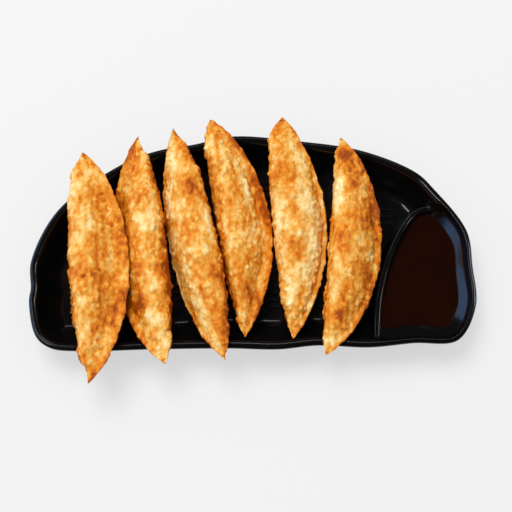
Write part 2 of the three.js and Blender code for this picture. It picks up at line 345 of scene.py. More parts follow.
divider = dict(
    crest=[(60.2, -47.5), (60.3, -42), (60.8, -33.6), (61.9, -25), (63.9, -16.5), (66.6, -7.5),
           (70.4, 1.5), (75.1, 10.4), (78.3, 15), (81.7, 18), (85.6, 19.4), (91.5, 19.8)],
    section=[(0, 14), (0.9, 14), (1.5, 13.5), (2.2, 11), (2.9, 5.5), (3.8, 2.6), (5.4, 0),
             (7.5, -2)],
    rounds=2,
    sinksFrom=0.7,  # the share of its length from which it sinks towards the wall
    sinksTo=0.82,  # and to how much of its height
    fillet=1.6,
    reach=6.2,  # how far its strip reaches to either side
    even=0.6,  # the share of that in even steps, while the rest draws them to the crest
    bury=0.3,  # how deep the strip lies in the dish where its own wall has ended
    buryStart=(0.4, 1.8),  # how far that wall is under the dish's top as this sets in
    under=1.1,  # how far its underside lies below the dish's top
    steps=150,
    across=48,
)
rib = dict(
    pitch=3.6, width=1.8, topWidth=0.99, height=0.45, round=0.2, first=-32.6, count=20,
    edge=19,  # how far its ends lie from the rim's outer edge
    dividerGap=6.5,  # and from the divider's crest
    reach=105,  # they are looked for up to here, in such steps
    step=0.25,
)

rimChain = splineThrough(dish["rim"], True, dish["around"])
dividerChain = splineThrough(divider["crest"], False, divider["steps"])
rimDirections = rimChain[:-1] / np.linalg.norm(rimChain[:-1], axis=1)[:, None]
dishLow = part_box("dish")[0]
shift = np.array([dishLow.x / mm - rimChain[:, 0].min(), dishLow.y / mm - rimChain[:, 1].min(), 0])


def insetAt(points):
    # how far in from the rim's outer edge points are, in the section's own measure
    away = np.maximum(np.linalg.norm(points, axis=1), 1)
    front = np.maximum(0, -points[:, 1] / away) ** 2
    return distanceTo(rimChain, points) / (1 + dish["frontLean"] * front)


def wellChange(inset, points):
    # what the sauce well adds to the wall's height, less than nothing where it is lower there
    turn = np.degrees(np.arctan2(points[:, 1], points[:, 0]))
    first, last, blend = dish["wellFrom"], dish["wellTo"], dish["wellBlend"]
    inWell = smoothStep(turn, first - blend, first + blend)
    inWell = inWell * (1 - smoothStep(turn, last - blend, last + blend))
    way = inset + smoothStep(inset, *dish["swellStart"]) * sum(
        swell * hump(turn, middle, reach) for middle, reach, swell in dish["wellSwells"])
    usual = np.interp(inset, *zip(*innerSection))
    return inWell * (np.interp(way, *zip(*wellSection)) - usual)


def wallRings(section):
    # for each point of the section, the ring round the dish at its way in and its height
    radii = np.linalg.norm(rimChain[:-1], axis=1)
    ways = np.linspace(0, dish["searchWay"], dish["searchSteps"])
    samples = (radii[None, :] - ways[:, None])[:, :, None] * rimDirections[None, :, :]
    insets = insetAt(samples.reshape(-1, 2)).reshape(len(ways), -1)
    rings = []
    for inset, height in section:
        radius = [r - np.interp(inset, column, ways) for r, column in zip(radii, insets.T)]
        flat = np.array(radius)[:, None] * rimDirections
        rings.append(np.column_stack([flat, np.full(len(flat), height)]))
    return rings


outerSection = roundedChain(dish["section"][:dish["rimTop"] + 1], dish["rounds"])
innerSection = roundedChain(dish["section"][dish["rimTop"]:], dish["rounds"])
wellSection = roundedChain(dish["wellSection"], dish["wellRounds"])
dividerSection = roundedChain(divider["section"], divider["rounds"])
floorLevel = innerSection[-1][1]


def dishTop(points):
    # the height of wall and floor at points inside the rim
    inset = insetAt(points)
    return np.interp(inset, *zip(*innerSection)) + wellChange(inset, points)


def dividerTop(away):
    return np.interp(away, *zip(*dividerSection))


def foodSideTop(points):
    # the height of everything moulded, the low wall with its fillets included
    wall = dividerTop(distanceTo(dividerChain, points))
    return softMax(dishTop(points), wall, divider["fillet"])


def makeDishShell():
    rings = wallRings(outerSection)
    for (inset, _), ring in zip(innerSection[1:], wallRings(innerSection[1:])):
        ring[:, 2] += wellChange(inset, ring)
        rings.append(ring)
    floor = rings[-1]
    shares = np.linspace(1, 0, dish["floorRings"] + 1)[1:-1]
    floor[:, 2] = floorLevel
    rings += [floor * [share, share, 1] for share in shares]
    points = np.vstack(rings + [[[0, 0, rings[0][0, 2]]], [[0, 0, floorLevel]]])
    return meshFrom("dishShell", points + shift, shellFaces(len(rings), len(floor)))


def makeDivider():
    # a strip along the crest: it lies on the wall and floor at its edges and ends
    ahead = np.gradient(dividerChain, axis=0)
    ahead /= np.linalg.norm(ahead, axis=1)[:, None]
    sideways = np.column_stack([-ahead[:, 1], ahead[:, 0]])
    spread = np.linspace(-1, 1, divider["across"] + 1)
    even = divider["even"]
    ways = divider["reach"] * (even * spread + (1 - even) * spread ** 3)
    flat = (dividerChain[:, None, :] + ways[None, :, None] * sideways[:, None, :]).reshape(-1, 2)
    base = dishTop(flat)
    sunk = smoothStep(np.linspace(0, 1, len(dividerChain)), divider["sinksFrom"], 1)
    tall = 1 - (1 - divider["sinksTo"]) * sunk
    wall = np.outer(tall, dividerTop(np.abs(ways))).ravel()
    buried = divider["bury"] * smoothStep(base - wall, *divider["buryStart"])
    top = softMax(base, wall, divider["fillet"]) - buried
    rows, across = len(dividerChain), len(ways)
    bottom = base - divider["under"]
    points = np.vstack([np.column_stack([flat, top]), np.column_stack([flat, bottom])])
    under = rows * across
    faces = []
    for r in range(rows - 1):
        for i in range(across - 1):
            a = r * across + i
            faces.append((a, a + across, a + across + 1, a + 1))
            faces.append((under + a, under + a + 1, under + a + across + 1, under + a + across))
    edge = [r * across for r in range(rows)]
    edge += [(rows - 1) * across + i for i in range(1, across)]
    edge += [r * across + across - 1 for r in range(rows - 2, -1, -1)]
    edge += list(range(across - 2, 0, -1))
    for a, b in zip(edge, edge[1:] + edge[:1]):
        faces.append((b, a, under + a, under + b))
    return meshFrom("divider", points + shift, faces)


def ribLines():
    # the middle line of each rib, as loose edges, between wall, divider and wall
    points, edges = [], []
    xs = np.arange(-rib["reach"], rib["reach"], rib["step"])
    middle = len(xs) // 2
    for i in range(rib["count"]):
        y = rib["first"] + i * rib["pitch"]
        line = np.column_stack([xs, np.full(len(xs), y)])
        far = distanceTo(dividerChain, line) > rib["dividerGap"]
        clear = (insetAt(line) > rib["edge"]) & far
        if not clear[middle]:
            continue
        left = middle - np.argmin(clear[middle::-1]) + 1
        right = middle + np.argmin(clear[middle:]) - 1
        edges.append((len(points), len(points) + 1))
        points += [(xs[left], y, floorLevel), (xs[right], y, floorLevel)]
    mesh = bpy.data.meshes.new("ribLines")
    mesh.from_pydata(((np.array(points) + shift) * mm).tolist(), edges, [])
    return addObject("ribLines", mesh)


def geometryTree(name, inputs):
    # an empty geometry tree with named inputs
    tree = bpy.data.node_groups.new(name, "GeometryNodeTree")
    tree.interface.new_socket("Geometry", in_out="INPUT", socket_type="NodeSocketGeometry")
    for label, kind in inputs.items():
        tree.interface.new_socket(label, in_out="INPUT", socket_type=kind)
    tree.interface.new_socket("Geometry", in_out="OUTPUT", socket_type="NodeSocketGeometry")
    return tree, addNode(tree, "NodeGroupInput").outputs


def endTree(tree, geometry, material):
    real = addNode(tree, "GeometryNodeRealizeInstances", {"Geometry": geometry})
    painted = addNode(tree, "GeometryNodeSetMaterial", {
        "Geometry": real.outputs["Geometry"], "Material": material})
    addNode(tree, "NodeGroupOutput", {"Geometry": painted.outputs["Geometry"]})


def floorRibTree():
    # a low bar along every line, narrower at its top and with rounded corners
    tree, given = geometryTree("floorRibs", {
        "Width": "NodeSocketFloat", "Top Width": "NodeSocketFloat", "Height": "NodeSocketFloat",
        "Round": "NodeSocketFloat", "Material": "NodeSocketMaterial"})
    lines = addNode(tree, "GeometryNodeMeshToCurve", {"Mesh": given["Geometry"]})
    # the profile lies upside down along the lines, so its bottom is the bar's narrower top, and
    # half of it is under the floor
    tall = addNode(tree, "ShaderNodeMath", {0: given["Height"], 1: 2.0}, operation="MULTIPLY")
    bar = addNode(tree, "GeometryNodeCurvePrimitiveQuadrilateral", {
        "Bottom Width": given["Top Width"], "Top Width": given["Width"],
        "Height": tall.outputs[0], "Offset": 0.0}, mode="TRAPEZOID")
    rounded = addNode(tree, "GeometryNodeFilletCurve", {
        "Curve": bar.outputs["Curve"], "Radius": given["Round"], "Count": 5}, mode="POLY")
    bars = addNode(tree, "GeometryNodeCurveToMesh", {
        "Curve": lines.outputs["Curve"], "Profile Curve": rounded.outputs["Curve"],
        "Fill Caps": True})
    endTree(tree, bars.outputs["Mesh"], given["Material"])
    return tree


def joinInto(name, objects):
    # one mesh of several, which are removed
    merged = bmesh.new()
    for obj in objects:
        merged.from_mesh(obj.data)
        bpy.data.objects.remove(obj)
    mesh = bpy.data.meshes.new(name)
    merged.to_mesh(mesh)
    merged.free()
    mesh.polygons.foreach_set("use_smooth", [True] * len(mesh.polygons))
    return addObject(name, mesh)


def settle(obj, slot, *nodes):
    # puts a finished piece on the frame in place of its CAD nodes
    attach(obj, "root")
    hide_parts(*nodes)


ribs = ribLines()
bakeNodes(ribs, floorRibTree(), {
    "Width": rib["width"] * mm, "Top Width": rib["topWidth"] * mm,
    "Height": rib["height"] * mm, "Round": rib["round"] * mm, "Material": melamine})
dishPiece = joinInto("mouldedDish", [makeDishShell(), makeDivider(), ribs])
dishPiece.data.materials.clear()
dishPiece.data.materials.append(melamine)
settle(dishPiece, "black_melamine", "dish")
print("dish made")


# The sauce

sauce = dict(
    layers=(4.1, 5.6, 7.6, 9.8),
    narrow=0.6,  # how its directions are drawn together across
    bury=0.35,  # how far it reaches into wall and divider, in height
    climb=0.1,  # how high its edge climbs
    climbReach=0.8,
    middle=(84, -22),
    around=240,
    search=(4, 55),  # how far from its middle its edge is looked for
    searchSteps=400,
    rings=40,
    crowding=1.6,  # how much closer the rings lie towards the edge
)


def sauceEdge(height):
    # the line where moulded wall and divider rise through a height
    middle = np.array(sauce["middle"])
    turns = np.linspace(0, 2 * math.pi, sauce["around"], endpoint=False)
    directions = np.column_stack([sauce["narrow"] * np.cos(turns), np.sin(turns)])
    fars = np.linspace(*sauce["search"], sauce["searchSteps"])
    samples = middle + fars[:, None, None] * directions[None, :, :]
    tops = foodSideTop(samples.reshape(-1, 2)).reshape(len(fars), -1)
    first = np.argmax(tops > height + sauce["bury"], axis=0)
    return middle + fars[first][:, None] * directions


def makeSauce():
    middle = np.array(sauce["middle"])
    rings = [np.column_stack([sauceEdge(z), np.full(sauce["around"], z)]) for z in sauce["layers"]]
    surface = sauce["layers"][-1]
    outer = rings.pop()[:, :2]
    radius = np.linalg.norm(outer - middle, axis=1)
    for share in 1 - np.linspace(0, 1, sauce["rings"])[:-1] ** sauce["crowding"]:
        climb = sauce["climb"] * np.exp(-radius * (1 - share) / sauce["climbReach"])
        rings.append(np.column_stack([middle + (outer - middle) * share, surface + climb]))
    points = np.vstack(rings + [[[*middle, sauce["layers"][0]]], [[*middle, surface]]])
    return meshFrom("dippingSauce", points + shift, shellFaces(len(rings), sauce["around"]))


saucePiece = makeSauce()
saucePiece.data.materials.append(dip)
settle(saucePiece, "dipping_sauce", "sauce")
print("sauce made")


# The dumplings

# near and far are the tips; fold and seam are how far each edge stands out from the line between
# them and how fast it does so from either tip; side is +1 where the seam faces +X; roll lifts
# the seam, in degrees; band is the width of the flat sealed band, ridge where between fold and
# band the body is thickest, slump how soon its top thins from there, and shoulder where along a
# fold that stops short of a tip its edge falls, and to how much. across and along say how much
# browner the crust is at shares of the way from fold to seam and from near tip to far tip; this is
# partly the crust's own browning and partly painted light and shade, darker on sides in shade and
# paler on slopes that turn from the light. marks are large patches and bumps: where they are along
# and across, by those shares, how far they reach along and across, how high they rise and how much
# browner they are.
dumplings = [
    dict(near=(-78.1, -70.7, 26.3), far=(-84.8, 44.5, 26.3), sag=5, roll=7, half=10.6,
         side=1, fold=(8.4, 0.7, 0.47), seam=(21.3, 0.77, 0.74), seed=11,
         band=5.5, ridge=0.36, slump=0.6, shoulder=(0.065, 0.1, 0.35),
         across=[(0, -0.2), (0.3, -0.2), (0.45, -0.14), (0.6, 0), (0.75, 0.05), (1, 0.14)],
         along=[(0, 0.3), (0.12, -0.05), (0.25, 0.06), (0.65, 0.02), (0.75, -0.13), (1, -0.12)],
         marks=[(0.47, 0.56, 0.8, 0.6, -0.2, 0.9), (0.44, 0.31, 1.3, 1.1, 0.2, 0.5),
                (0.5, 0.38, 5, 3, 0.2, -0.25), (0.75, 0.56, 6, 1.6, -0.4, 0.3),
                (0.6, 0.76, 9, 1.5, -0.35, 0.12), (0.22, 0.46, 2.5, 2, 0, 0.4),
                (0.3, 0.74, 4, 1.5, -0.2, 0.15), (0.31, 0, 0.9, 0.9, 1, -0.5),
                (0.02, 0.5, 3, 2, 0, 0.35)]),
    dict(near=(-41.6, -60.9, 23.7), far=(-57.5, 54, 23.7), sag=6.8, roll=-14, half=10.6,
         side=-1, fold=(7.2, 0.63, 0.56), seam=(21.4, 0.8, 0.84), seed=23,
         band=3.4, ridge=0.4, slump=0.47, shoulder=(0.94, 0.905, 0.3),
         across=[(0, 0.05), (0.12, -0.2), (0.28, -0.21), (0.42, -0.06), (0.55, 0.11), (0.75, 0.08),
                 (1, 0.25)],
         along=[(0, 0), (0.15, -0.11), (0.35, 0.13), (0.55, -0.04), (0.75, -0.12), (1, 0.2)],
         marks=[(0.91, 0.8, 6, 3, -0.1, 0.25), (0.59, 0.28, 5, 3, 0.1, -0.3),
                (0.8, 0.6, 4, 2.5, 0.1, -0.25), (0.4, 0.1, 5, 2, 0, 0.3),
                (0.26, 0.03, 3, 1.5, 0.2, -0.5), (0.26, 0.6, 4, 2, -0.1, 0.35),
                (0.19, 0.45, 4, 3, 0.1, -0.3), (0.86, 0.05, 5, 1.5, 0, 0.35)]),
    dict(near=(-13.5, -58.5, 23), far=(-40.1, 58.2, 23.4), sag=4.6, roll=-32, half=10.2,
         side=-1, fold=(9.8, 0.76, 0.65), seam=(17.2, 0.85, 0.88), seed=37,
         band=1.2, ridge=0.42, slump=0.36, shoulder=(0, 1, 1),
         across=[(0, 0.05), (0.33, 0), (0.5, -0.25), (0.75, -0.35), (0.85, -0.29), (0.93, -0.1),
                 (1, 0.05)],
         along=[(0, 0.18), (0.15, 0.16), (0.28, 0), (0.42, -0.12), (0.65, -0.14), (0.78, 0),
                (1, 0)],
         marks=[(0.29, 0.33, 3.2, 2.5, 1.1, 0.5), (0.68, 0.72, 5, 2, 0.1, -0.35),
                (0.74, 0.2, 3.5, 3, -0.1, 0.4), (0.63, 0.78, 2, 1.5, 0, 0.35),
                (0.5, 0.36, 5, 3, 0.1, -0.2), (0.985, 0.5, 1.5, 2, 0, 0.4)]),
    dict(near=(-4.1, -46.9, 17.6), far=(-21.7, 63, 23.3), sag=5, roll=-8, half=10.4,
         side=1, fold=(5.2, 0.53, 0.3), seam=(22.2, 0.89, 0.8), seed=41,
         band=4.4, ridge=0.32, slump=0.45, shoulder=(0, 1, 1),
         across=[(0, 0), (0.14, -0.1), (0.28, 0.02), (0.45, -0.05), (0.65, -0.15), (0.77, -0.1),
                 (0.9, 0.2), (1, 0.28)],
         along=[(0, 0.15), (0.15, 0.14), (0.3, 0.02), (0.6, -0.05), (0.75, -0.1), (1, 0.02)],
         marks=[(0.88, 0.02, 3, 2, 0.7, -0.5), (0.63, 0.88, 9, 3, -0.6, 0.35),
                (0.44, 0.79, 3.2, 1, 0.5, -0.6), (0.68, 0.66, 8, 1.6, 0.3, -0.4)]),
    dict(near=(19.2, -47.6, 17.6), far=(14.8, 64.1, 23.1), sag=5, roll=-8, half=10.4,
         side=1, fold=(8.2, 0.61, 0.21), seam=(19.7, 0.89, 0.86), seed=53,
         band=2.6, ridge=0.4, slump=0.3, shoulder=(0, 1, 1),
         across=[(0, -0.25), (0.3, -0.03), (0.42, -0.04), (0.6, -0.22), (0.78, -0.3), (1, -0.08)],
         along=[(0, 0.2), (0.15, -0.04), (0.45, -0.14), (0.75, -0.1), (0.85, 0.17), (1, 0.3)],
         marks=[(0.5, 0.7, 22, 2, 0.3, -0.15), (0.69, 0.39, 5, 4, -0.1, 0.25),
                (0.39, 0.76, 3, 2.2, 0.3, -0.25), (0.17, 0.2, 6, 2, 0.1, -0.35),
                (0.35, 0.95, 10, 1.5, 0, 0.3), (0.2, 0.5, 6, 1.5, -0.1, 0.3)]),
    dict(near=(34.6, -56.4, 22), far=(43.3, 53.4, 23), sag=6.4, roll=-5, half=10.6,
         side=1, fold=(1.7, 0.16, 0.2), seam=(24.4, 0.79, 0.75), seed=67,
         band=2.6, ridge=0.3, slump=0.36, shoulder=(0, 1, 1),
         across=[(0, -0.4), (0.1, -0.12), (0.3, 0.08), (0.45, 0), (0.75, 0), (1, 0.22)],
         along=[(0, -0.35), (0.13, 0.08), (0.25, 0.2), (0.4, 0.03), (0.7, 0.02), (0.88, -0.08),
                (1, 0.05)],
         marks=[(0.75, 0.08, 8, 3, 0.3, -0.4), (0.7, 0.12, 2, 1.5, 0.2, -0.4),
                (0.63, 0.32, 3, 2.5, -0.2, 0.35), (0.93, 0.36, 3.5, 3, -0.1, 0.4),
                (0.63, 0.68, 2.5, 2.5, 0.5, 0.2), (0.47, 0.05, 5, 2, 0.4, -0.3),
                (0.18, 0.38, 4, 4, -0.2, 0.45), (0.07, 0.3, 4, 4, 0.2, -0.35),
                (0.75, 0.97, 12, 1.2, 0, 0.35)]),
]
crust = dict(
    seamHalf=1.3,  # half the seam's thickness
    seamGrowth=12,  # it has that from a twelfth of the length on
    bandThin=0.35,  # how much thinner the band is at its edge
    bandLimit=0.4,  # the band's greatest share of a section
    edgeRound=1,  # how far in its edge is rounded
    foldRound=0.1,  # the share of the body in which its folded edge is rounded
    foldStart=(0.05, 0.07),  # the shares of its length in which the fold sets in from either tip
    under=0.85,  # how thick the underside is against the top
    underSlump=0.6,  # and how soon it thins
    tipFlap=0.05,  # the share of its length at either tip that is not filled
    tipRise=0.72,  # how soon its thickness grows from there
    rollRise=0.6,  # and how soon its roll does
    tipGap=0.004,  # the share of the way left free at either tip before the rings are spaced
    rings=330, bodyPoints=66, seamPoints=18,
    seamCrowding=0.9,  # how the band's points are drawn towards its edge
    coarseBody=7, coarseBand=2, coarseStart=0.35,  # the plain solid's own spacing
    blisters=46, blisterReach=(4.5, 8), blisterHeight=(0.5, 1.2),
    blisterEnds=0.06,  # the share of its length at either tip without any
    bumpPitch=3.1, bumpHeight=0.9,  # the middling blisters
    pimplePitch=1.7, pimpleHeight=0.42,  # and the small ones
    blisterWidth=0.62,  # how wide these are against their pitch
    leastBlister=0.15,  # how high the lowest is against the highest
    sway=3, swayPitch=5,  # how far their rows are bent out of line, and how often
    crumbDensity=3500,  # to a square metre
    crumbSize=0.6,
    bandRough=0.6,  # how rough the band and the tips are against the body
    tipRough=0.25,
    browningAndShade=0.4,  # how brown it is
    tipToast=0.7,  # and at its very tips
    paintedSideShade=0.35,  # and how much browner its steep sides and its underside are painted, a painted shade
    paintedShadeLevels=(0.75, 0.2),  # as its surface turns from so level to so level
)


def randomFrom(seed):
    state = seed
    while True:
        state = (state * 1664525 + 1013904223) % 2 ** 32
        yield state / 2 ** 32


def bow(shape, t):
    # rises from 0 at both ends to its width, at the given rates from each end
    width, nearRate, farRate = shape
    top = nearRate / (nearRate + farRate)
    return width * (t ** nearRate * (1 - t) ** farRate) / (top ** nearRate * (1 - top) ** farRate)


def teardrop(v, ridge, slump):
    # the half thickness, as a share of its greatest, from the fold (0) to the seam (1)
    rise = np.sqrt(np.clip(1 - (1 - v / ridge) ** 2, 0, 1))
    fall = np.clip((v - ridge) / (1 - ridge), 0, 1)
    return np.where(v < ridge, rise, (0.5 + 0.5 * np.cos(math.pi * fall)) ** slump)


def cosineShare(share):
    # from 0 to 1, closer together towards both ends
    return 0.5 - 0.5 * np.cos(math.pi * share)


def thicker(a, b):
    # about the larger of two thicknesses, without a crease where they cross
    return (a ** 4 + b ** 4) ** 0.25


def edgesAt(dumpling, t):
    # where the folded edge and the seam's edge are at t, and how wide the flat band is
    near, far = crust["foldStart"]
    start = np.sqrt(np.minimum(1, np.minimum(t / near, (1 - t) / far)))
    begun, ended, kept = dumpling["shoulder"]
    grown = kept + (1 - kept) * np.clip((t - begun) / (ended - begun), 0, 1)
    foldEdge = -bow(dumpling["fold"], t) * grown * start
    seamEdge = bow(dumpling["seam"], t)
    band = np.minimum(dumpling["band"], crust["bandLimit"] * (seamEdge - foldEdge))
    return foldEdge, seamEdge, band


def halvesAt(dumpling, t):
    # half the thickness of the filled body and of the seam at t
    filled = np.clip((t - crust["tipFlap"]) / (1 - 2 * crust["tipFlap"]), 0, 1)
    body = dumpling["half"] * np.sin(math.pi * filled) ** crust["tipRise"]
    return body, crust["seamHalf"] * np.minimum(1, crust["seamGrowth"] * np.minimum(t, 1 - t))


def layInDish(dumpling, across, up, t):
    # sets points of sections, across towards the seam and up, into the dish
    near, far = np.array(dumpling["near"], float), np.array(dumpling["far"], float)
    along = (far - near)[:2] / np.linalg.norm((far - near)[:2])
    sideways = np.array([along[1], -along[0]]) * dumpling["side"]
    roll = math.radians(dumpling["roll"]) * np.sin(math.pi * t) ** crust["rollRise"]
    out = across * np.cos(roll) - up * np.sin(roll)
    sag = dumpling["sag"] * (1 - (2 * t - 1) ** 2)
    rise = across * np.sin(roll) + up * np.cos(roll) - sag
    line = near + (far - near) * np.asarray(t)[..., None]
    return np.stack([line[..., 0] + sideways[0] * out, line[..., 1] + sideways[1] * out,
                     line[..., 2] + rise], axis=-1)


def coarsePoint(dumpling, t, index):
    # one of the points of the plain solid's section at t, counted over the top and back under
    last, banded, start = crust["coarseBody"], crust["coarseBand"], crust["coarseStart"]
    side = last + 1 + banded
    below = index >= side
    i = 2 * side - 1 - index if below else index
    foldEdge, seamEdge, band = edgesAt(dumpling, t)
    half, thin = halvesAt(dumpling, t)
    width = seamEdge - band - foldEdge
    slump = dumpling["slump"]
    if below:
        half, slump = crust["under"] * half, crust["underSlump"]
    if i <= last:
        v = cosineShare((i + start) / (last + start))
        across, up = foldEdge + width * v, max(thin, half * teardrop(v, dumpling["ridge"], slump))
    else:
        share = (i - last) / banded
        across, up = foldEdge + width + band * share, thin * (1 - crust["bandThin"] * share)
    return layInDish(dumpling, across, -up if below else up, t)


def largeBlisters(dumpling):
    # the same domes as on the plain solid: where each one is, how far it reaches and how high
    random = randomFrom(dumpling["seed"])
    ends = crust["blisterEnds"]
    pointCount = 2 * (crust["coarseBody"] + 1 + crust["coarseBand"])
    domes = []
    for _ in range(crust["blisters"]):
        t = ends + (1 - 2 * ends) * next(random)
        middle = coarsePoint(dumpling, t, int(next(random) * pointCount))
        low, high = crust["blisterReach"]
        reach = low + (high - low) * next(random)
        low, high = crust["blisterHeight"]
        domes.append((middle, reach, low + (high - low) * next(random)))
    return domes


def sectionsOf(dumpling, t):
    # a row for each t, over the top and back under: across, up, how rough, and the body's place
    count, band = crust["bodyPoints"], crust["seamPoints"]
    ridge = dumpling["ridge"]
    v = cosineShare(np.arange(count + 1) / count)
    s = np.sin(0.5 * math.pi * np.arange(1, band + 1) / band) ** crust["seamCrowding"]
    foldEdge, seamEdge, bandWidth = (a[:, None] for a in edgesAt(dumpling, t))
    half, thin = (a[:, None] for a in halvesAt(dumpling, t))
    width = seamEdge - bandWidth - foldEdge
    edge = thin * np.sqrt(np.clip(v / crust["foldRound"], 0, 1))
    bodyUp = thicker(half * teardrop(v, ridge, dumpling["slump"]), edge)
    bodyUnder = thicker(crust["under"] * half * teardrop(v, ridge, crust["underSlump"]), edge)
    rounding = np.clip(1 - (1 - s) * bandWidth / crust["edgeRound"], 0, 1)
    bandUp = thin * (1 - crust["bandThin"] * s) * np.sqrt(np.clip(1 - rounding ** 2, 0, 1))
    across = np.hstack([foldEdge + width * v, foldEdge + width + bandWidth * s])
    up = np.hstack([bodyUp, bandUp])
    below = -np.hstack([bodyUnder, bandUp])
    rough = np.hstack([np.ones(count + 1), np.full(band, crust["bandRough"])])
    across = np.hstack([across, across[:, -2:0:-1]])
    up = np.hstack([up, below[:, -2:0:-1]])
    rough = np.concatenate([rough, rough[-2:0:-1]])
    return across, up, np.tile(rough, (len(t), 1)), foldEdge, width


def largeRelief(dumpling, points, rough):
    # how far the large blisters raise each point
    rise = np.zeros(rough.shape)
    for at, reach, height in largeBlisters(dumpling):
        share = np.clip(1 - ((points - at) ** 2).sum(axis=2) / reach ** 2, 0, 1)
        rise = np.maximum(rise, height * share * share)
    return rise * rough


def levelOf(dumpling, points):
    # how level the surface is: 1 where it faces up, 0 where it is steep, -1 underneath
    around = np.roll(points, -1, axis=1) - np.roll(points, 1, axis=1)
    normal = dumpling["side"] * np.cross(around, np.gradient(points, axis=0))
    return normal[:, :, 2] / np.linalg.norm(normal, axis=2)


def makeDumpling(name, dumpling):
    # a closed shell from tip to tip, with how brown it is, painted shade on its sides included,
    # and how rough it is kept at each point
    ends = cosineShare(np.linspace(crust["tipGap"], 1 - crust["tipGap"], crust["rings"]))
    across, up, rough, foldEdge, width = sectionsOf(dumpling, ends)
    t = np.broadcast_to(ends[:, None], across.shape)
    points = layInDish(dumpling, across, up, t)
    middle = layInDish(dumpling, foldEdge + width / 2, 0 * foldEdge, ends[:, None])
    outward = points - middle
    outward /= np.linalg.norm(outward, axis=2)[:, :, None]
    rise = largeRelief(dumpling, points, rough)

    wide = bow(dumpling["seam"], ends)[:, None] - foldEdge
    long = np.linalg.norm(np.array(dumpling["far"]) - np.array(dumpling["near"]))
    share = (across - foldEdge) / wide
    level, steep = crust["paintedShadeLevels"]
    # the across and along profiles hold the crust's own browning together with painted light and
    # shade across its slopes
    browningAndShade = crust["browningAndShade"] + np.interp(share, *zip(*dumpling["across"]))
    browningAndShade = browningAndShade + np.interp(t, *zip(*dumpling["along"]))
    # painted shade: steep sides and the underside are coloured browner by how far they turn from
    # level
    browningAndShade = browningAndShade + crust["paintedSideShade"] * smoothStep(-levelOf(dumpling, points), -level, -steep)
    top = np.clip(up / 2 + 0.5, 0, 1)
    for at, shareAt, alongReach, acrossReach, height, tint in dumpling["marks"]:
        near = hump((t - at) * long, 0, alongReach)
        near = near * hump((share - shareAt) * wide, 0, acrossReach) * top
        rise = rise + height * near
        browningAndShade = browningAndShade + tint * near
    points = points + outward * rise[:, :, None]

    flat = np.vstack([points.reshape(-1, 3), [dumpling["near"], dumpling["far"]]])
    faces = shellFaces(*across.shape)
    if dumpling["side"] < 0:
        faces = [face[::-1] for face in faces]
    obj = meshFrom(name, flat + shift, faces)
    storePerPoint(obj, "browningAndShade", np.append(browningAndShade.ravel(), [crust["tipToast"]] * 2))
    storePerPoint(obj, "rough", np.append(rough.ravel(), [crust["tipRough"]] * 2))
    return obj


